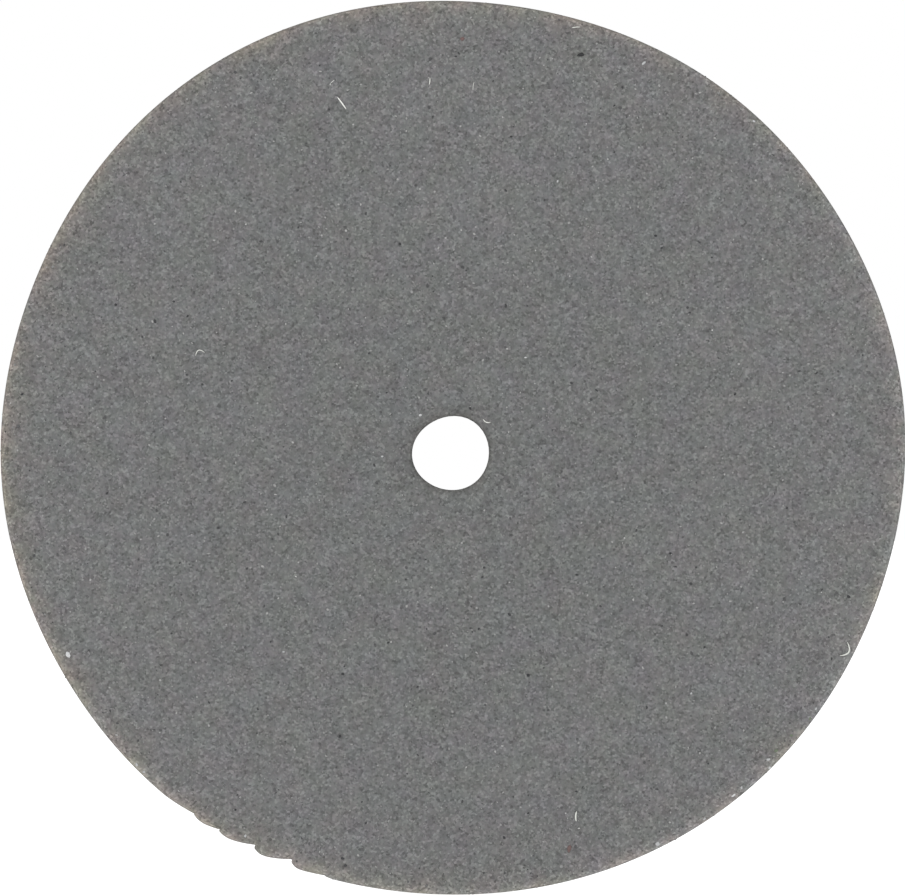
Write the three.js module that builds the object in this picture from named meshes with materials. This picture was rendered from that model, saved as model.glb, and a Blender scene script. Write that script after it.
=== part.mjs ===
import * as THREE from 'three';

// A small flat polishing wheel of abrasive-filled rubber, clamped through its bore on a mandrel.
// It is upright and spins about Y. The origin is on the bore's axis, half way through the wheel,
// and the front face looks towards -Y. Lengths are in millimetres and angles in degrees.

const DIAMETER = 22.5; // mean, over the worn rim
const THICKNESS = 3.2;
const BORE_DIAMETER = 1.9;
const RIM_ROUND = 0.2; // radius worn onto the corner between a face and the rim
const BORE_ROUND = 0.1; // radius worn onto the bore's edges
const RIM_CENTRE = new THREE.Vector2(0.037, 0.131); // the bore was punched a little off centre

// The rim is out of round in a few broad lobes. Each set has so many lobes round the rim that
// stand so far out, and one of them points this way, counted from +X towards +Z.
const RIM_LOBES = [
  { lobes: 2, height: 0.049, points: -10 },
  { lobes: 3, height: 0.018, points: -3.5 },
  { lobes: 4, height: 0.025, points: 34.5 },
  { lobes: 5, height: 0.007, points: 34 },
  { lobes: 6, height: 0.024, points: 1 },
  { lobes: 8, height: 0.009, points: 7 },
];
const BORE_LOBES = [
  { lobes: 2, height: 0.022, points: 16 },
  { lobes: 3, height: 0.017, points: -59 },
];

// Five small steps are torn across the rim, one behind the other. Each starts with a wall as
// deep as the slope before it has fallen, and lip is what is left of that depth past the wall.
const NICKS = [
  { at: 234.8, depth: 0.078, lip: 0.055 },
  { at: 238.6, depth: 0.09, lip: 0.05 },
  { at: 243.6, depth: 0.166, lip: 0.085 },
  { at: 248.7, depth: 0.188, lip: 0.115 },
  { at: 253.4, depth: 0.045, lip: 0.03 },
];
const NICK_RISE = 1.5; // from a wall to the crest behind it
const RISE_CURVE = 2.5;
const NICK_APPROACH = 4.7; // from the round rim down to the first wall
const SLOPE_CURVE = 1.4;

const RIM_STEP = 2; // between the points of the round rim
const NICK_STEP = 0.4; // between the points of the torn stretch
const WALL_WIDTH = 0.04;
const BORE_SIDES = 48;
const CORNER_STEPS = 3; // flats across each rounded corner

const radians = THREE.MathUtils.degToRad;

function lobeHeight(sets, angle) {
  return sets.reduce((sum, set) => sum + set.height * Math.cos(set.lobes * radians(angle - set.points)), 0);
}

// How far the torn rim lies under the round one: a short convex rise behind each wall, then a
// longer slope down to the next.
function nickDepth(angle) {
  let crest = NICKS[0].at - NICK_APPROACH;
  for (const { at, depth, lip } of NICKS) {
    if (angle > crest && angle <= at) return depth * ((angle - crest) / (at - crest)) ** SLOPE_CURVE;
    crest = at + NICK_RISE;
    if (angle > at && angle < crest) return lip * ((crest - angle) / NICK_RISE) ** RISE_CURVE;
  }
  return 0;
}

function rimAngles() {
  const first = NICKS[0].at - NICK_APPROACH;
  const last = NICKS.at(-1).at + NICK_RISE;
  const angles = [];
  for (let angle = last; angle < first + 360; angle += RIM_STEP) angles.push(angle);
  for (let angle = first; angle < last; angle += NICK_STEP) {
    if (NICKS.every(({ at }) => Math.abs(angle - at) > NICK_STEP / 3)) angles.push(angle + 360);
  }
  for (const { at } of NICKS) angles.push(360 + at - WALL_WIDTH / 2, 360 + at + WALL_WIDTH / 2);
  return angles.sort((a, b) => a - b);
}

function polar(radius, angle) {
  return new THREE.Vector2(radius * Math.cos(radians(angle)), radius * Math.sin(radians(angle)));
}

function rimOutline() {
  return rimAngles().map((angle) => {
    const radius = DIAMETER / 2 + lobeHeight(RIM_LOBES, angle) - nickDepth(angle % 360);
    return polar(radius, angle).add(RIM_CENTRE);
  });
}

function boreOutline() {
  return Array.from({ length: BORE_SIDES }, (_, side) => {
    const angle = (360 * side) / BORE_SIDES;
    return polar(BORE_DIAMETER / 2 + lobeHeight(BORE_LOBES, angle), angle);
  });
}

// Spreads the extrusion's layers over the rounded corners, and draws each one back from the
// edge by as much as the corner's arc is there: inwards at the rim, outwards in the bore.
function roundCorners(geometry, layers) {
  const position = geometry.attributes.position;
  const point = new THREE.Vector3();
  const boreLimit = (BORE_DIAMETER + DIAMETER) / 4;
  for (let i = 0; i < position.count; i++) {
    point.fromBufferAttribute(position, i);
    const layer = Math.round((point.z / THICKNESS) * layers);
    const fromFace = Math.min(layer, layers - layer, CORNER_STEPS);
    const turn = (Math.PI / 2) * (fromFace / CORNER_STEPS);
    const inBore = Math.hypot(point.x, point.y) < boreLimit;
    const round = inBore ? BORE_ROUND : RIM_ROUND;
    const centre = inBore ? new THREE.Vector2() : RIM_CENTRE;
    const outwards = new THREE.Vector2(point.x, point.y).sub(centre).normalize();
    const drawnBack = round * (1 - Math.sin(turn)) * (inBore ? 1 : -1);
    const underFace = round * (1 - Math.cos(turn));
    const z = layer < layers / 2 ? underFace : THICKNESS - underFace;
    position.setXYZ(i, point.x + outwards.x * drawnBack, point.y + outwards.y * drawnBack, z);
  }
  return geometry;
}

function polishingWheel() {
  const outline = new THREE.Shape(rimOutline());
  outline.holes.push(new THREE.Path(boreOutline()));
  const layers = 2 * CORNER_STEPS + 1;
  const geometry = new THREE.ExtrudeGeometry(outline, {
    depth: THICKNESS,
    steps: layers,
    bevelEnabled: false,
  });
  roundCorners(geometry, layers);
  geometry.translate(0, 0, -THICKNESS / 2);
  geometry.rotateX(Math.PI / 2);
  geometry.computeVertexNormals();

  const abrasiveRubber = new THREE.MeshStandardMaterial({ color: 0x777776, roughness: 0.9, metalness: 0 });
  const wheel = new THREE.Mesh(geometry, abrasiveRubber);
  wheel.name = 'polishing_wheel';
  return wheel;
}

const object = new THREE.Group();
object.name = 'rotary_tool_polishing_wheel';
object.add(polishingWheel());

export default object;
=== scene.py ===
"""A small polishing wheel of abrasive-filled rubber, upright, with its front face towards -Y.

The body is one mesh of rings that run out from the bore over the front face, across the rim and
back over the rear face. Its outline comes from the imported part. Geometry Nodes wear its surface
and set the grains in it. Lengths are in metres and angles in degrees, and a polar angle counts
from +X towards +Z.
"""

import math

import bpy
import numpy as np
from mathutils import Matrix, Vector
from mathutils.bvhtree import BVHTree


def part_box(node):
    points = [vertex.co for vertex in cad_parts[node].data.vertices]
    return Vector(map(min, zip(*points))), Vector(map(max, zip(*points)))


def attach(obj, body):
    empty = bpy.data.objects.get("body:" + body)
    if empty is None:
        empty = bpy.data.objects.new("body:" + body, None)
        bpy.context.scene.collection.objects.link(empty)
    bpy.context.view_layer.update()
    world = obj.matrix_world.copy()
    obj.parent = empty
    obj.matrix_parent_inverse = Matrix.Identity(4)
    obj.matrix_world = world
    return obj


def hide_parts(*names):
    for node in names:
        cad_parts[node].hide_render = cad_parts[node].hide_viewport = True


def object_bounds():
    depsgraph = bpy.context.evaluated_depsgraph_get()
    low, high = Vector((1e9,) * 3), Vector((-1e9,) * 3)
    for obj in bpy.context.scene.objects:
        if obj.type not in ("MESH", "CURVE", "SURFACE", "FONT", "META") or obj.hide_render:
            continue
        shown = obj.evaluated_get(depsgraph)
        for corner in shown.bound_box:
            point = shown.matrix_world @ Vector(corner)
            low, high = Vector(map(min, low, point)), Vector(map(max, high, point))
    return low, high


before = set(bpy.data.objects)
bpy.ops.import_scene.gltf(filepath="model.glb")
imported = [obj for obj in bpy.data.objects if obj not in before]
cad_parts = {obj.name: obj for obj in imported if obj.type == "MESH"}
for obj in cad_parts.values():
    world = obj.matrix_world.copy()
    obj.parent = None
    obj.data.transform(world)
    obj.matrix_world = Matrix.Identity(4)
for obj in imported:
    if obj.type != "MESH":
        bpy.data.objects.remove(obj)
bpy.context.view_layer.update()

NODE = "polishing_wheel"
BODY = "root"
MM = 0.001

# The body's mesh: rings, each of so many columns.
RIM_ROUND = 0.2 * MM
BORE_ROUND = 0.1 * MM
CORNER_RINGS = 5
FACE_PITCH = 0.116 * MM  # between the rings of a face
SIDE_PITCH = 0.19 * MM  # between the rings of the rim's wall and of the bore's
BORE_COLUMNS = 90
WIDEST_CELL = 0.155 * MM  # a ring doubles its columns before its cells grow wider than this
JITTER = 0.2  # of the pitch between two rings, so that the rings don't show
BODY_SEED = 7
NICKS_MIDDLE = 244  # degrees
CROWDING = 0.4  # the columns there are this share of their even pitch apart
NICK_REACH = 0.04  # of a face's width: how far in from the rim the columns follow the nicks
WALL_GAP = 0.1  # degrees: two outline points this close are the foot and the top of a nick's wall
SAME_DEPTH = 0.001 * MM

# The wear on it.
WAVE_LENGTH, WAVE_HEIGHT = 2.6 * MM, 0.010 * MM
DIMPLE_LENGTH, DIMPLE_HEIGHT = 0.42 * MM, 0.007 * MM
PIT_SPACING, PIT_DEPTH = 0.9 * MM, 0.04 * MM
SMALLEST_PIT, LARGEST_PIT = 0.01 * MM, 0.10 * MM  # the radius
EDGE_FADE = 0.25 * MM  # the wear grows to its full height over this distance from an edge
EDGE_SHARE = 0.12  # of its full height, at the edge itself

# The grains set in it: how many to a square metre, how close together and how wide.
EMERY = {"Density": 5.0e6, "Spacing": 0.09 * MM, "Smallest": 0.035 * MM, "Largest": 0.095 * MM, "Seed": 11}
PALE = {"Density": 7.0e6, "Spacing": 0.09 * MM, "Smallest": 0.03 * MM, "Largest": 0.08 * MM, "Seed": 23}
QUARTZ = {"Density": 1.4e5, "Spacing": 0.2 * MM, "Smallest": 0.03 * MM, "Largest": 0.06 * MM, "Seed": 31}
GRAIN_FACETS = 1
SLIMMEST, STOUTEST = (0.8, 0.45, 0.2), (1.3, 1.0, 0.4)  # length, breadth and height, of its width
SUNK = 0.07  # of its width, from the surface down to its middle
MOST_TILTED = 0.5  # radians, about each of its two flat axes
KNAPPING = 0.2  # of the smallest grain's width
EDGE_GAP = 0.06 * MM  # on a face, none lie nearer than this to its edges
FACE_GAP = 0.45 * MM  # on the rim's wall, none lie nearer than this to a face
GAP_FADE = 0.05 * MM  # their number rises to its full value over this distance
BORE_MARGIN = 1 * MM  # a wall that is this near to the bore is the bore's own, and bears none

# The rubber's grit, its smears and its broad patches.
GREY = 0.1360  # the share of the light that plain rubber gives back
GRIT_SPACING, LUMP_SPACING = 0.052 * MM, 0.125 * MM
SMEAR_LENGTH, STREAK_LENGTH, PATCH_LENGTH = 0.4 * MM, 0.9 * MM, 1.6 * MM
STREAKS_TURNED, STREAKS_DRAWN = -15, 4  # degrees from level, and times as long as wide
MOTTLE_LENGTH, HAZE_LENGTH = 0.75 * MM, 0.85 * MM
# The last of these is how far in from the rim the painted shade along its edge reaches.
RIM_WORN, RIM_SOILED, RIM_EDGE_SHADE = 0.1 * MM, 0.27 * MM, 0.025 * MM  # how far in from the rim each reaches
# Out from the bore: how far its tan wear and its painted shade reach, and how far in the painted shade is
# eased off at its lip.
BORE_WEAR_AND_SHADE, BORE_LIP = 0.125 * MM, 0.045 * MM
# Painted shade on the rim's corners: how far from a face it starts, and over how much it grows.
CORNER_START, CORNER_FADE = 0.4 * MM, 0.3 * MM  # the wall darkens this far from a face, over this much
BUMP_LENGTH, BUMP_HEIGHT = 0.08 * MM, 0.014 * MM
DUST_LENGTH = 0.03 * MM  # on the grains, the hairs and the chips

# Stray hairs and chips.
STRAY_SEED = 5
HAIR_POINTS, HAIR_SIDES = 9, 6
HAIR_LIFT = 0.35  # of its thickness, from the surface up to its middle
HAIR_TAPER = 0.7  # of its thickness, lost at either end
CHIP_CORNERS = 7
CHIP_PROFILE = ((-0.25, 0.8), (0.12, 1.0), (0.30, 0.55))  # height over the surface, and girth
CHIP_SKEW = 0.25  # of the angle between two corners
CHIP_REACH = (0.8, 1.1)  # of the girth: the least and the most that a corner lies out

# Where they lie, in millimetres and degrees about the bore, seen from the side that they lie on.
# A hair is (side, x, z, length, thickness, turned, bend), and a chip is
# (side, x, z, length, width, turned).
FRONT, REAR = -1, 1
HAIRS = (
    (FRONT, -2.73, 8.74, 0.37, 0.037, -54, 0.01),
    (FRONT, -2.97, 9.25, 0.18, 0.014, 49, 0.10),
    (FRONT, -0.54, 9.29, 0.18, 0.026, 85, -0.05),
    (FRONT, 3.12, 10.63, 0.21, 0.026, 5, 0.05),
    (FRONT, 3.13, -9.07, 0.25, 0.045, 88, 0.08),
    (FRONT, 0.89, 0.81, 0.20, 0.030, -24, -0.20),
    (FRONT, -6.27, 2.47, 0.24, 0.026, 20, 0.45),
    (FRONT, 9.80, -4.89, 0.38, 0.042, 60, -0.40),
    (REAR, 4.10, 6.30, 0.26, 0.028, 32, 0.12),
    (REAR, -7.40, -1.90, 0.20, 0.030, -70, -0.10),
    (REAR, 1.80, -8.60, 0.15, 0.028, 10, 0.30),
    (FRONT, 0.56, 9.17, 0.21, 0.013, 83, 0.05),
)
PALE_CHIPS = (
    (FRONT, 4.81, 9.74, 0.13, 0.07, 40),
    (FRONT, -9.57, -5.03, 0.17, 0.11, -60),
    (FRONT, 5.16, -9.76, 0.12, 0.11, 0),
    (FRONT, -0.77, 0.95, 0.08, 0.07, 0),
    (FRONT, 7.95, -7.85, 0.09, 0.07, 60),
    (FRONT, 7.92, -7.65, 0.10, 0.08, 20),
    (FRONT, 7.25, -8.35, 0.08, 0.06, 80),
    (FRONT, 7.05, -8.55, 0.16, 0.05, 40),
    (FRONT, 6.33, -9.13, 0.09, 0.05, 30),
    (FRONT, 9.11, -6.38, 0.08, 0.06, 60),
    (FRONT, -7.85, -7.78, 0.10, 0.07, -45),
    (FRONT, -7.67, -7.96, 0.08, 0.06, 0),
    (FRONT, -5.14, -9.56, 0.09, 0.06, 80),
    (FRONT, 7.56, 8.29, 0.08, 0.06, -30),
    (FRONT, -1.72, -0.08, 0.08, 0.05, 10),
    (FRONT, 2.66, 6.79, 0.08, 0.05, 70),
    (FRONT, -4.19, -4.96, 0.07, 0.05, 0),
    (FRONT, 6.00, -6.00, 0.07, 0.05, 45),
    (FRONT, 1.86, 2.39, 0.07, 0.04, 0),
    (FRONT, -9.52, -1.43, 0.07, 0.05, 90),
    (REAR, -3.20, 8.10, 0.14, 0.08, 25),
    (REAR, 8.30, -2.60, 0.11, 0.09, -40),
)
BLACK_CHIPS = (
    (FRONT, 3.24, 9.95, 0.20, 0.10, 8),
    (REAR, -5.50, -6.70, 0.16, 0.10, 70),
)
RED_CHIPS = (
    (FRONT, 2.95, -9.87, 0.20, 0.13, 80),
    (FRONT, 0.28, 10.35, 0.12, 0.10, 0),
    (REAR, 7.20, 7.00, 0.14, 0.11, 30),
)
GREEN_CHIPS = (
    (FRONT, 8.12, -7.43, 0.11, 0.08, 30),
    (FRONT, 8.50, -7.05, 0.08, 0.06, 0),
    (FRONT, 8.96, -6.63, 0.08, 0.06, 60),
    (REAR, 6.40, -8.70, 0.10, 0.08, 15),
)

lo, hi = (Vector(corner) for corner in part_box(NODE))
HALF = (hi.y - lo.y) / 2
MID_Y = (hi.y + lo.y) / 2
REACH = (hi.x - lo.x) / 2


# ------------------------------------------------------------------ node trees


class Value:
    """A node's output. Arithmetic on it adds Math nodes to its tree."""

    def __init__(self, graph, socket):
        self.graph = graph
        self.socket = socket

    def maths(self, operation, *values):
        return self.graph.node("ShaderNodeMath", {"operation": operation}, dict(enumerate(values)))

    def __add__(self, other):
        return self.maths("ADD", self, other)

    def __sub__(self, other):
        return self.maths("SUBTRACT", self, other)

    def __rsub__(self, other):
        return self.maths("SUBTRACT", other, self)

    def __mul__(self, other):
        return self.maths("MULTIPLY", self, other)

    def __truediv__(self, other):
        return self.maths("DIVIDE", self, other)

    def __pow__(self, other):
        return self.maths("POWER", self, other)

    def __neg__(self):
        return self * -1

    __radd__ = __add__
    __rmul__ = __mul__

    def other(self, name):
        """Another output of the same node."""
        return Value(self.graph, self.socket.node.outputs[name])

    def exp(self):
        return self.maths("EXPONENT", self)

    def absolute(self):
        return self.maths("ABSOLUTE", self)

    def smaller(self, other):
        return self.maths("MINIMUM", self, other)

    def larger(self, other):
        return self.maths("MAXIMUM", self, other)

    def clamped(self):
        return self.larger(0).smaller(1)


class Graph:
    """Adds nodes to a material's tree or to a Geometry Nodes group."""

    def __init__(self, tree):
        self.tree = tree

    def node(self, kind, settings=None, inputs=None, output=0):
        made = self.tree.nodes.new(kind)
        for name, value in (settings or {}).items():
            setattr(made, name, value)
        for key, value in (inputs or {}).items():
            self.feed(made.inputs[key], value)
        return made if output is None else Value(self, made.outputs[output])

    def feed(self, socket, value):
        if isinstance(value, Value):
            self.tree.links.new(value.socket, socket)
        else:
            socket.default_value = value

    def noise(self, where, wave_length, detail=2.0, roughness=0.5):
        """Runs from about -1 to 1 round a mean of 0."""
        inputs = {"Vector": where, "Scale": 1 / wave_length, "Detail": detail, "Roughness": roughness}
        return self.node("ShaderNodeTexNoise", {}, inputs) * 2 - 1

    def parts(self, vector):
        """The three numbers of a vector or a colour."""
        split = self.node("ShaderNodeSeparateXYZ", {}, {0: vector}).socket.node
        return [Value(self, output) for output in split.outputs]

    def cells(self, where, spacing):
        """The distance to the nearest of the scattered points, and three random numbers for it."""
        inputs = {"Vector": where, "Scale": 1 / spacing, "Randomness": 1.0}
        distance = self.node("ShaderNodeTexVoronoi", {"feature": "F1"}, inputs)
        return distance * spacing, self.parts(distance.other("Color"))

    def mix(self, amount, first, second):
        inputs = {"Factor": amount, 6: first, 7: second}
        return self.node("ShaderNodeMix", {"data_type": "RGBA", "clamp_factor": True}, inputs, output=2)


# ------------------------------------------------------------------ the body's mesh


def outline(points):
    """The polar angles and radii of a solid's edge about the bore's axis, in order."""
    flat = np.unique(points[:, [0, 2]].round(8), axis=0)
    angle = np.degrees(np.arctan2(flat[:, 1], flat[:, 0])) % 360
    order = np.argsort(angle)
    return angle[order], np.hypot(*flat[order].T)


def packed_outlines():
    """The outlines of the rim and of the bore, each where its wall is at its full size."""
    points = np.array([v.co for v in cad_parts[NODE].data.vertices])
    radius = np.hypot(points[:, 0], points[:, 2])
    at_rim = radius > radius.max() / 2
    outlines = []
    for wall in (points[at_rim], points[~at_rim]):
        depth = np.abs(wall[:, 1] - MID_Y)
        outlines.append(outline(wall[depth < depth.min() + SAME_DEPTH]))
    return outlines


RIM, BORE = packed_outlines()


def rim_radius(angle):
    return np.interp(angle, *RIM, period=360)


def bore_radius(angle):
    return np.interp(angle, *BORE, period=360)


def ring_angles(columns, share):
    """Angles that crowd round the middle of the nicks. Close to the rim, the two on either side of
    a nick's wall move onto its foot and its top."""
    evenly = np.radians(np.arange(columns) * 360 / columns - 180)
    angles = NICKS_MIDDLE + 2 * np.degrees(np.arctan(CROWDING * np.tan(evenly / 2)))
    settled = max(0, 1 - (1 - share) / NICK_REACH)
    for before, after in zip(RIM[0], RIM[0][1:]):
        if after - before < WALL_GAP:
            nearest = np.searchsorted(angles, before) - 1
            pair = angles[nearest : nearest + 2]
            pair += settled * (np.array((before, after)) - pair)
    return angles


def corner(round_radius):
    """How far each ring of a rounded corner is drawn back from the edge, and how deep it lies."""
    turns = np.radians(np.linspace(0, 90, CORNER_RINGS + 1))
    return [(round_radius * (1 - math.sin(a)), round_radius * (1 - math.cos(a))) for a in turns]


def face_shares():
    """Where the rings of a face lie, from 0 at the bore's corner to 1 at the rim's."""
    mean_bore, mean_rim = BORE[1].mean() + BORE_ROUND, RIM[1].mean() - RIM_ROUND
    rings = round((mean_rim - mean_bore) / FACE_PITCH)
    shares, columns = [], []
    for share in np.linspace(0, 1, rings + 1)[1:-1]:
        girth = 2 * math.pi * (mean_bore + share * (mean_rim - mean_bore))
        count = BORE_COLUMNS
        while girth / count > WIDEST_CELL:
            count *= 2
        shares.append(share)
        columns.append(count)
    return shares, columns


def body_rings():
    """Every ring as (columns, share, drawn back, y, loose), from the middle of the bore round to
    the last one before it. Share is 0 at the bore and 1 at the rim, and a loose ring is jittered."""
    shares, columns = face_shares()
    widest = columns[-1]
    half = []  # from the middle of the bore to the middle of the rim, over the front face
    for y in np.linspace(0, HALF - BORE_ROUND, round(HALF / SIDE_PITCH))[:-1]:
        half.append((BORE_COLUMNS, 0, 0, -y, False))
    for back, deep in reversed(corner(BORE_ROUND)):
        half.append((BORE_COLUMNS, 0, back, deep - HALF, False))
    for share, count in zip(shares, columns):
        half.append((count, share, None, -HALF, True))
    for back, deep in corner(RIM_ROUND):
        half.append((widest, 1, back, deep - HALF, False))
    for y in np.linspace(HALF - RIM_ROUND, 0, round(HALF / SIDE_PITCH))[1:]:
        half.append((widest, 1, 0, -y, False))
    other = [(count, share, back, -y, loose) for count, share, back, y, loose in half[-2:0:-1]]
    return half + other


def ring_points(ring, random):
    columns, share, back, y, loose = ring
    angles = ring_angles(columns, share)
    inner = bore_radius(angles) + (BORE_ROUND if back is None else back)
    outer = rim_radius(angles) - (RIM_ROUND if back is None else back)
    radius = inner + share * (outer - inner)
    if loose:
        radius += FACE_PITCH * JITTER * random.uniform(-1, 1, columns)
        angles = angles + 360 / columns * JITTER * random.uniform(-1, 1, columns)
    turn = np.radians(angles)
    return np.column_stack((radius * np.cos(turn), np.full(columns, MID_Y + y), radius * np.sin(turn)))


def bridge(first, second, columns, next_columns):
    """Faces between two rings that start at these vertices, where one may have twice the columns."""
    faces = []
    if columns == next_columns:
        for i in range(columns):
            j = (i + 1) % columns
            faces.append((first + i, first + j, second + j, second + i))
        return faces
    fine, coarse = (first, second) if columns > next_columns else (second, first)
    count = min(columns, next_columns)
    for i in range(count):
        j = (i + 1) % count
        left, middle, right = fine + 2 * i, fine + 2 * i + 1, fine + 2 * j
        made = [(coarse + i, middle, left), (coarse + i, coarse + j, middle), (coarse + j, right, middle)]
        faces += made if columns < next_columns else [face[::-1] for face in made]
    return faces


def body_mesh():
    random = np.random.default_rng(BODY_SEED)
    rings = body_rings()
    points = [ring_points(ring, random) for ring in rings]
    starts = np.cumsum([0] + [len(p) for p in points])
    faces = []
    for i, ring in enumerate(rings):
        j = (i + 1) % len(rings)
        faces += bridge(int(starts[i]), int(starts[j]), ring[0], rings[j][0])
    mesh = bpy.data.meshes.new("wheel_body")
    mesh.from_pydata(np.concatenate(points).tolist(), [], faces)
    mesh.shade_smooth()
    mark_edges(mesh)
    mesh.update()
    return mesh


def mark_edges(mesh):
    """Stores how far each vertex lies in from the rim and out from the bore, for the finishes."""
    points = np.array([v.co for v in mesh.vertices])
    radius = np.hypot(points[:, 0], points[:, 2])
    angle = np.degrees(np.arctan2(points[:, 2], points[:, 0])) % 360
    for name, distance in (
        ("from_rim", rim_radius(angle) - radius),
        ("from_bore", radius - bore_radius(angle)),
    ):
        layer = mesh.attributes.new(name, "FLOAT", "POINT")
        layer.data.foreach_set("value", np.maximum(distance, 0).astype(np.float32))


# ------------------------------------------------------------------ Geometry Nodes


def new_group(name, sizes):
    """A Geometry Nodes group that takes a geometry and these named sizes."""
    tree = bpy.data.node_groups.new(name, "GeometryNodeTree")
    tree.interface.new_socket("Geometry", in_out="INPUT", socket_type="NodeSocketGeometry")
    for label, kind in sizes.items():
        tree.interface.new_socket(label, in_out="INPUT", socket_type=kind)
    tree.interface.new_socket("Geometry", in_out="OUTPUT", socket_type="NodeSocketGeometry")
    graph = Graph(tree)
    entry = graph.node("NodeGroupInput")
    outputs = {s.name: Value(graph, s) for s in entry.socket.node.outputs if s.name}
    return graph, outputs


def close_group(graph, geometry, material):
    realised = graph.node("GeometryNodeRealizeInstances", {}, {0: geometry})
    coated = graph.node("GeometryNodeSetMaterial", {}, {"Geometry": realised, "Material": material})
    graph.node("NodeGroupOutput", {}, {0: coated}, output=None)
    return graph.tree


def grown(name, mesh, tree, values):
    """A plain mesh object: what the group makes of this mesh with these values."""
    base = bpy.data.objects.new(name + "_base", mesh)
    bpy.context.collection.objects.link(base)
    modifier = base.modifiers.new(name, "NODES")
    modifier.node_group = tree
    for item in tree.interface.items_tree:
        if item.in_out == "INPUT" and item.name in values:
            modifier[item.identifier] = values[item.name]
    evaluated = base.evaluated_get(bpy.context.evaluated_depsgraph_get())
    made = bpy.data.meshes.new_from_object(evaluated)
    made.name = name
    bpy.data.objects.remove(base)
    piece = bpy.data.objects.new(name, made)
    bpy.context.collection.objects.link(piece)
    return piece


def kept(graph, name):
    """A number that the mesh keeps for each vertex."""
    return graph.node("GeometryNodeInputNamedAttribute", {"data_type": "FLOAT"}, {"Name": name})


def from_edges(graph):
    """How far in from the nearer of the rim and the bore."""
    return kept(graph, "from_rim").smaller(kept(graph, "from_bore"))


def scaled(graph, vector, size):
    return graph.node("ShaderNodeVectorMath", {"operation": "SCALE"}, {0: vector, "Scale": size})


def moved(graph, geometry, offset):
    return graph.node("GeometryNodeSetPosition", {}, {"Geometry": geometry, "Offset": offset})


def wear_group():
    """Broad waves, fine dimples and scattered small pits, all along the surface's normal."""
    graph, given = new_group(
        "worn_surface",
        {
            "Wave Height": "NodeSocketFloat",
            "Dimple Height": "NodeSocketFloat",
            "Pit Depth": "NodeSocketFloat",
            "Material": "NodeSocketMaterial",
        },
    )
    where = graph.node("GeometryNodeInputPosition")
    waves = graph.noise(where, WAVE_LENGTH) * given["Wave Height"]
    dimples = graph.noise(where, DIMPLE_LENGTH, detail=3) * given["Dimple Height"]
    distance, chances = graph.cells(where, PIT_SPACING)
    radius = SMALLEST_PIT + chances[0] * (LARGEST_PIT - SMALLEST_PIT)
    pits = (1 - distance / radius).clamped() * given["Pit Depth"]
    share = (from_edges(graph) / EDGE_FADE).clamped() * (1 - EDGE_SHARE) + EDGE_SHARE
    height = (waves + dimples - pits) * share
    normal = graph.node("GeometryNodeInputNormal")
    worn = moved(graph, given["Geometry"], scaled(graph, normal, height))
    return close_group(graph, worn, given["Material"])


def grain_cover(graph):
    """How thickly the grains lie, from 0 to 1. None lie in the bore."""
    _, y, _ = graph.parts(graph.node("GeometryNodeInputPosition"))
    on_face = ((from_edges(graph) - EDGE_GAP) / GAP_FADE).clamped()
    on_wall = ((HALF - FACE_GAP - (y - MID_Y).absolute()) / GAP_FADE).clamped()
    off_bore = ((kept(graph, "from_bore") - BORE_MARGIN) / BORE_MARGIN).clamped()
    return on_face.larger(on_wall * off_bore)


def random_number(graph, seed):
    return graph.node("FunctionNodeRandomValue", {}, {2: 0.0, 3: 1.0, "Seed": seed}, output=1)


def random_vector(graph, least, most, seed):
    inputs = {"Min": least, "Max": most, "Seed": seed}
    return graph.node("FunctionNodeRandomValue", {"data_type": "FLOAT_VECTOR"}, inputs)


def grain_group():
    """Flat faceted grains scattered over a surface and sunk in it a little past their middle. Each
    is turned and tilted at random, has a random shade and is knapped by a noise."""
    graph, given = new_group(
        "set_grains",
        {
            "Density": "NodeSocketFloat",
            "Spacing": "NodeSocketFloat",
            "Smallest": "NodeSocketFloat",
            "Largest": "NodeSocketFloat",
            "Seed": "NodeSocketInt",
            "Material": "NodeSocketMaterial",
        },
    )
    seed = given["Seed"]
    scattered = {
        "Mesh": given["Geometry"],
        "Distance Min": given["Spacing"],
        "Density Max": given["Density"],
        "Density Factor": grain_cover(graph),
        "Seed": seed,
    }
    points = graph.node("GeometryNodeDistributePointsOnFaces", {"distribute_method": "POISSON"}, scattered)

    tilt = random_vector(graph, (0, 0, 0), (MOST_TILTED, MOST_TILTED, math.tau), seed)
    tilted = graph.node("FunctionNodeEulerToRotation", {}, {0: tilt})
    turned = {"Rotation": points.other("Rotation"), "Rotate By": tilted}
    luck = random_number(graph, seed + 1)
    width = given["Smallest"] + (given["Largest"] - given["Smallest"]) * luck**2
    ball = {"Radius": 0.5, "Subdivisions": GRAIN_FACETS}
    placed = {
        "Points": moved(graph, points, scaled(graph, points.other("Normal"), width * -SUNK)),
        "Instance": graph.node("GeometryNodeMeshIcoSphere", {}, ball),
        "Rotation": graph.node("FunctionNodeRotateRotation", {"rotation_space": "LOCAL"}, turned),
        "Scale": scaled(graph, random_vector(graph, SLIMMEST, STOUTEST, seed + 3), width),
    }
    grains = graph.node("GeometryNodeInstanceOnPoints", {}, placed)
    shaded = graph.node(
        "GeometryNodeStoreNamedAttribute",
        {"data_type": "FLOAT", "domain": "INSTANCE"},
        {"Geometry": grains, "Name": "shade", "Value": random_number(graph, seed + 2)},
    )

    realised = graph.node("GeometryNodeRealizeInstances", {}, {0: shaded})
    where = graph.node("GeometryNodeInputPosition")
    knocks = graph.node("ShaderNodeTexWhiteNoise", {"noise_dimensions": "3D"}, {"Vector": where}, output=1)
    centred = graph.node("ShaderNodeVectorMath", {"operation": "SUBTRACT"}, {0: knocks, 1: (0.5,) * 3})
    knapped = moved(graph, realised, scaled(graph, centred, given["Smallest"] * KNAPPING))
    return close_group(graph, knapped, given["Material"])


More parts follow.
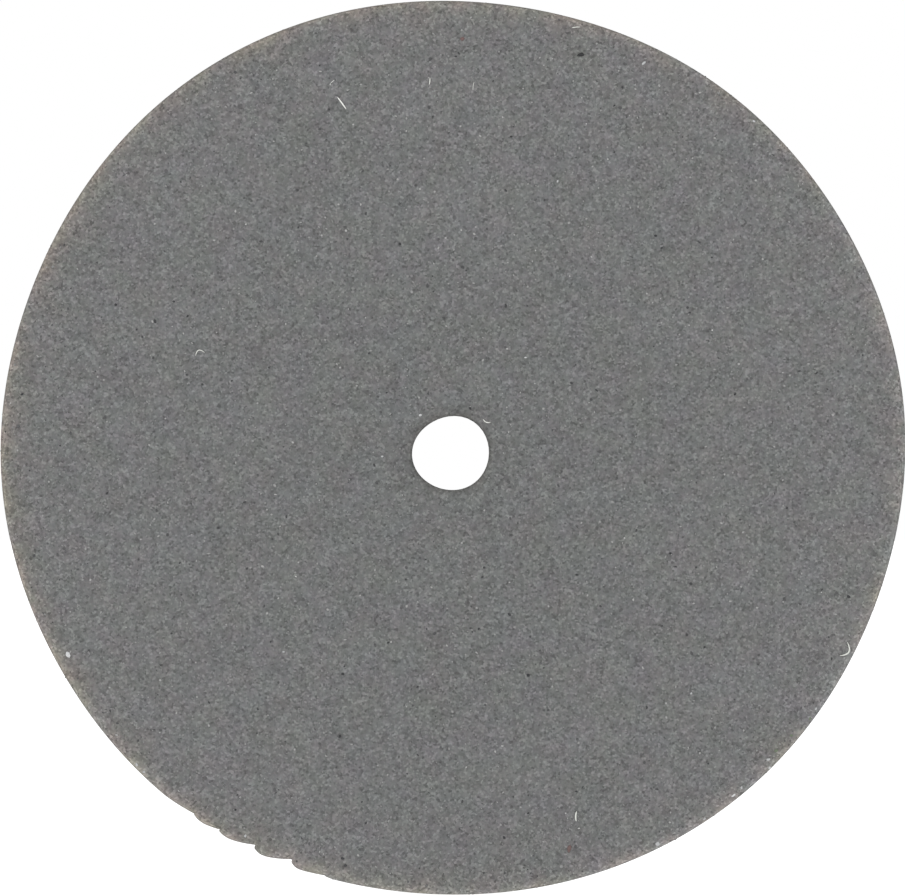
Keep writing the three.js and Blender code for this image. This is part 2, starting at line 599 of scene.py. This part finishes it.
def hair_group():
    """A tapered tube along each chain of edges, as thick as its vertices say."""
    graph, given = new_group("laid_hairs", {"Sides": "NodeSocketInt", "Material": "NodeSocketMaterial"})
    path = graph.node("GeometryNodeMeshToCurve", {}, {"Mesh": given["Geometry"]})
    circle = {"Resolution": given["Sides"], "Radius": 0.5}
    section = graph.node("GeometryNodeCurvePrimitiveCircle", {}, circle)
    swept = {"Curve": path, "Profile Curve": section, "Scale": kept(graph, "thickness"), "Fill Caps": True}
    return close_group(graph, graph.node("GeometryNodeCurveToMesh", {}, swept), given["Material"])


# ------------------------------------------------------------------ finishes


def finish_named(name):
    """A material, its graph and its Principled shader."""
    material = bpy.data.materials.new(name)
    material.use_nodes = True
    shader = next(n for n in material.node_tree.nodes if n.type == "BSDF_PRINCIPLED")
    return material, Graph(material.node_tree), shader


def stored(graph, name):
    return graph.node("ShaderNodeAttribute", {"attribute_name": name}, {}, output=2)


def fading(graph, name, reach):
    """1 at the edge that this distance counts from, and less further from it."""
    return (-(stored(graph, name) / reach)).exp()


def way_out(graph, where):
    """0 on the bore's axis and 1 at the rim, by the square of the distance."""
    x, _, z = graph.parts(where)
    return (x * x + z * z) / REACH**2


def rubber_tone(graph, where, grit, soiled, smear, patches):
    """How bright each spot is, as a share of the plain grey."""
    _, y, z = graph.parts(where)
    _, lumps = graph.cells(where, LUMP_SPACING)
    slant = (0, math.radians(STREAKS_TURNED), 0)
    drift = {"Vector": where, "Rotation": slant, "Scale": (STREAKS_DRAWN, 1, 1)}
    drawn = graph.node("ShaderNodeMapping", {"vector_type": "TEXTURE"}, drift)
    streaks = graph.noise(drawn, STREAK_LENGTH, detail=1)

    # A twelfth is the mean of grain * grain, so that term leaves the mean as it is.
    grain = grit - 0.5
    speckle = grain * 0.29 + (grain * grain - 1 / 12) * 0.30 + grain**3 * 2.15
    tone = speckle + (lumps[0] - 0.5) * 0.205 + smear * 0.097 + streaks * 0.048 + patches * 0.014
    tone = (1 + tone * (1 + soiled * 0.3)) * (0.975 + way_out(graph, where) * 0.07)

    # The rim is worn pale. Painted shade darkens its very edge, a little over the whole wall and most on
    # its corners. Painted shade also darkens a band round the bore's edge, a little less right at its lip.
    corner_shade = (((y - MID_Y).absolute() - (HALF - CORNER_START)) / CORNER_FADE).clamped()
    # The worn band is paler towards the bottom of the wheel and less pale towards its top.
    worn = fading(graph, "from_rim", RIM_WORN) * (0.85 + patches * 0.28 - z * (0.20 / REACH))
    # A darker line of painted shade along the rim's edge, deepest over its corners.
    worn = worn - fading(graph, "from_rim", RIM_EDGE_SHADE) * (0.71 + corner_shade * 0.44)
    # Painted shade darkens a band round the bore's edge. The second term eases it off right at the lip.
    bore_shade = fading(graph, "from_bore", BORE_WEAR_AND_SHADE) * 0.25 - fading(graph, "from_bore", BORE_LIP) * 0.16
    return tone * (1 + worn) * (1 - bore_shade)


def rubber_tint(graph, where, grit, soiled, smear, patches):
    """Grey with a cast that drifts between green and mauve and between blue and yellow, and tan
    along the rim and the bore."""
    x, _, z = graph.parts(where)
    mottle = graph.noise(where, MOTTLE_LENGTH, detail=3, roughness=0.6)
    green = (1 - way_out(graph, where)) * 0.45 + mottle * (2.7 + soiled * 3) + (grit[1] - 0.5) * 1.2
    cast = graph.mix(green * 0.5 + 0.5, (1.024, 0.982, 1.010, 1), (0.976, 1.016, 0.992, 1))
    blue = (grit[2] - 0.5) * 0.9 + graph.noise(where, HAZE_LENGTH, detail=2) * 2.1
    cooled = graph.mix(blue * 0.5 + 0.5, (1.006, 1.006, 0.975, 1), (0.994, 0.994, 1.025, 1))
    tan = soiled * (0.75 + patches * 1.2 + smear * 0.6 - x * (0.38 / REACH) + z * (0.10 / REACH))
    tan = tan + fading(graph, "from_bore", BORE_WEAR_AND_SHADE) * 0.3
    warmed = graph.mix(tan, (1, 1, 1, 1), (1.095, 1.0, 0.875, 1))
    tint = graph.node("ShaderNodeVectorMath", {"operation": "MULTIPLY"}, {0: cast, 1: cooled})
    return graph.node("ShaderNodeVectorMath", {"operation": "MULTIPLY"}, {0: tint, 1: warmed})


def rubber_finish():
    """Grey rubber packed with fine grit, each grain its own shade. The rim is worn to a paler tan, with
    painted shade along its very edge, and painted shade darkens the lip of the bore."""
    material, graph, shader = finish_named("abrasive rubber")
    where = graph.node("ShaderNodeTexCoord", {}, {}, output=3)
    _, grit = graph.cells(where, GRIT_SPACING)
    soiled = fading(graph, "from_rim", RIM_SOILED)
    smear = graph.noise(where, SMEAR_LENGTH, detail=2, roughness=0.55)
    patches = graph.noise(where, PATCH_LENGTH, detail=2, roughness=0.6)
    tone = rubber_tone(graph, where, grit[0], soiled, smear, patches)
    tint = rubber_tint(graph, where, grit, soiled, smear, patches)
    graph.feed(shader.inputs["Base Color"], scaled(graph, tint, tone * GREY))

    fine = graph.noise(where, BUMP_LENGTH, detail=2, roughness=0.6)
    graph.feed(shader.inputs["Roughness"], 0.86 + fine * 0.1)
    shader.inputs["Specular IOR Level"].default_value = 0.25
    bumps = {"Strength": 0.4, "Distance": 1.0, "Height": fine * BUMP_HEIGHT}
    graph.feed(shader.inputs["Normal"], graph.node("ShaderNodeBump", {}, bumps))
    return material


def grain_finish(name, common, rare, roughness, specular):
    """Grains, chips or hairs of one kind. Few of them come close to the rare colour."""
    material, graph, shader = finish_named(name)
    where = graph.node("ShaderNodeTexCoord", {}, {}, output=3)
    dust = graph.noise(where, DUST_LENGTH, detail=1)
    shade = stored(graph, "shade") ** 2 + dust * 0.15
    graph.feed(shader.inputs["Base Color"], graph.mix(shade, common, rare))
    graph.feed(shader.inputs["Roughness"], roughness + dust * 0.1)
    shader.inputs["Specular IOR Level"].default_value = specular
    return material


# ------------------------------------------------------------------ the object


def show(piece):
    """Every piece rides on the wheel's one body."""
    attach(piece, BODY)


rubber = rubber_finish()
emery = grain_finish("emery grain", (0.118, 0.118, 0.119, 1), (0.018, 0.019, 0.021, 1), 0.6, 0.35)
filler = grain_finish("pale filler grain", (0.175, 0.176, 0.174, 1), (0.34, 0.338, 0.333, 1), 0.65, 0.35)
quartz = grain_finish("quartz grain", (0.26, 0.26, 0.256, 1), (0.60, 0.60, 0.59, 1), 0.5, 0.4)
lint = grain_finish("white lint", (0.60, 0.61, 0.57, 1), (0.82, 0.82, 0.79, 1), 0.7, 0.3)
chalk = grain_finish("white chip", (0.36, 0.365, 0.37, 1), (0.54, 0.545, 0.55, 1), 0.6, 0.4)
jet = grain_finish("black chip", (0.020, 0.021, 0.022, 1), (0.04, 0.04, 0.04, 1), 0.5, 0.3)
ruby = grain_finish("red grit chip", (0.130, 0.088, 0.083, 1), (0.165, 0.095, 0.090, 1), 0.7, 0.3)
olivine = grain_finish("green grit chip", (0.125, 0.152, 0.105, 1), (0.132, 0.166, 0.110, 1), 0.7, 0.3)

wear = {"Wave Height": WAVE_HEIGHT, "Dimple Height": DIMPLE_HEIGHT, "Pit Depth": PIT_DEPTH}
body = grown("wheel_body", body_mesh(), wear_group(), {**wear, "Material": rubber})
show(body)
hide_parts(NODE)
surface = BVHTree.FromPolygons(
    [v.co for v in body.data.vertices], [p.vertices for p in body.data.polygons]
)

grains = grain_group()
for name, sizes, finish in (
    ("emery_grains", EMERY, emery),
    ("pale_grains", PALE, filler),
    ("quartz_grains", QUARTZ, quartz),
):
    show(grown(name, body.data, grains, {**sizes, "Material": finish}))


def face_point(side, x, z):
    """The point of a face's surface under these coordinates, where the rear is seen from behind."""
    start = Vector((-x * side * MM, side * REACH, z * MM))
    return surface.ray_cast(start, Vector((0, -side, 0)))[0]


def hair_paths(random):
    """One bent chain of edges for each hair, lying on the surface."""
    points, edges, thickness, shade = [], [], [], []
    for side, x, z, length, thick, turned, bend in HAIRS:
        cos, sin = math.cos(math.radians(turned)), math.sin(math.radians(turned))
        pale = random.random()
        for i, t in enumerate(np.linspace(-1, 1, HAIR_POINTS)):
            along, across = t * length / 2, bend * length * (1 - t * t)
            foot = face_point(side, x + cos * along - sin * across, z + sin * along + cos * across)
            points.append(foot + Vector((0, side * thick * MM * HAIR_LIFT, 0)))
            thickness.append(thick * MM * (1 - HAIR_TAPER * t**4))
            shade.append(pale)
            if i:
                edges.append((len(points) - 2, len(points) - 1))
    mesh = bpy.data.meshes.new("hair_paths")
    mesh.from_pydata(points, edges, [])
    for label, values in (("thickness", thickness), ("shade", shade)):
        mesh.attributes.new(label, "FLOAT", "POINT").data.foreach_set("value", values)
    return mesh


def chip_rings(mark, random):
    """A chip's corners, ring by ring from its foot to its top."""
    side, x, z, length, width, turned = mark
    cos, sin = math.cos(math.radians(turned)), math.sin(math.radians(turned))
    middle = face_point(side, x, z)
    points = []
    for height, girth in CHIP_PROFILE:
        for i in range(CHIP_CORNERS):
            angle = math.tau * (i + random.uniform(-CHIP_SKEW, CHIP_SKEW)) / CHIP_CORNERS
            reach = girth * random.uniform(*CHIP_REACH)
            along = length / 2 * reach * math.cos(angle)
            across = width / 2 * reach * math.sin(angle)
            over, up = -side * (cos * along - sin * across), sin * along + cos * across
            points.append(middle + Vector((over, side * height * width, up)) * MM)
    return points


def chips(name, marks, random, finish):
    """Low faceted chips, half bedded in the surface."""
    points, faces, shade = [], [], []
    for mark in marks:
        first = len(points)
        shade += [random.random()] * (len(CHIP_PROFILE) * CHIP_CORNERS)
        points += chip_rings(mark, random)
        starts = range(first, len(points), CHIP_CORNERS)
        rings = [list(range(start, start + CHIP_CORNERS)) for start in starts]
        for below, above in zip(rings, rings[1:]):
            for i in range(CHIP_CORNERS):
                j = (i + 1) % CHIP_CORNERS
                faces.append((below[i], below[j], above[j], above[i]))
        faces += [rings[0][::-1], rings[-1]]
    mesh = bpy.data.meshes.new(name)
    mesh.from_pydata(points, [], faces)
    mesh.attributes.new("shade", "FLOAT", "POINT").data.foreach_set("value", shade)
    mesh.materials.append(finish)
    made = bpy.data.objects.new(name, mesh)
    bpy.context.collection.objects.link(made)
    return made


strays = np.random.default_rng(STRAY_SEED)
show(grown("lint_hairs", hair_paths(strays), hair_group(), {"Sides": HAIR_SIDES, "Material": lint}))
show(chips("white_chips", PALE_CHIPS, strays, chalk))
show(chips("black_chips", BLACK_CHIPS, strays, jet))
show(chips("red_chips", RED_CHIPS, strays, ruby))
show(chips("green_chips", GREEN_CHIPS, strays, olivine))

# ------------------------------------------------------------------ stage, light and camera

FLOOR_RADIUS = 1.2
DISC_SIDES = 96
LENS = 500  # millimetres, as the sensor is
SENSOR = 36
VIEW_WIDTH = 22.615 * MM  # at the front edge of the rim
VIEW_MIDDLE = (0.034 * MM, 0.129 * MM)  # from the bore's axis


def plain_material(name, colour, glow):
    material, _, shader = finish_named(name)
    shader.inputs["Base Color"].default_value = colour
    shader.inputs["Roughness"].default_value = 1.0
    shader.inputs["Specular IOR Level"].default_value = 0.0
    shader.inputs["Emission Color"].default_value = (1, 1, 1, 1)
    shader.inputs["Emission Strength"].default_value = glow
    return material


def disc(name, radius, z):
    turns = [math.tau * i / DISC_SIDES for i in range(DISC_SIDES)]
    points = [(radius * math.cos(a), radius * math.sin(a), z) for a in turns]
    mesh = bpy.data.meshes.new(name)
    mesh.from_pydata(points, [], [tuple(range(DISC_SIDES))])
    made = bpy.data.objects.new(name, mesh)
    bpy.context.collection.objects.link(made)
    return made


floor = disc("pale_floor", FLOOR_RADIUS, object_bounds()[0].z)
floor.data.materials.append(plain_material("pale floor", (0.3, 0.3, 0.3, 1), 1.0))

world = bpy.data.worlds.new("studio")
bpy.context.scene.world = world
world.use_nodes = True
background = next(n for n in world.node_tree.nodes if n.type == "BACKGROUND")
background.inputs["Color"].default_value = (1, 1, 1, 1)
background.inputs["Strength"].default_value = 1.0


def softbox(name, place, side, power):
    data = bpy.data.lights.new(name, "AREA")
    data.shape = "SQUARE"
    data.size = side
    data.energy = power
    lamp = bpy.data.objects.new(name, data)
    bpy.context.collection.objects.link(lamp)
    lamp.location = place
    lamp.rotation_euler = (-Vector(place)).to_track_quat("-Z", "Y").to_euler()
    return lamp


softbox("key", place=(-0.16, -0.26, 0.30), side=0.22, power=0.35)

camera_data = bpy.data.cameras.new("camera")
camera_data.lens = LENS
camera_data.sensor_width = SENSOR
camera_data.clip_start = 0.001
camera_data.clip_end = 3
camera = bpy.data.objects.new("camera", camera_data)
bpy.context.collection.objects.link(camera)
distance = VIEW_WIDTH * LENS / SENSOR
camera.location = (VIEW_MIDDLE[0], lo.y + RIM_ROUND - distance, VIEW_MIDDLE[1])
camera.rotation_euler = (math.pi / 2, 0, 0)
bpy.context.scene.camera = camera
bpy.context.scene.view_settings.view_transform = "Standard"
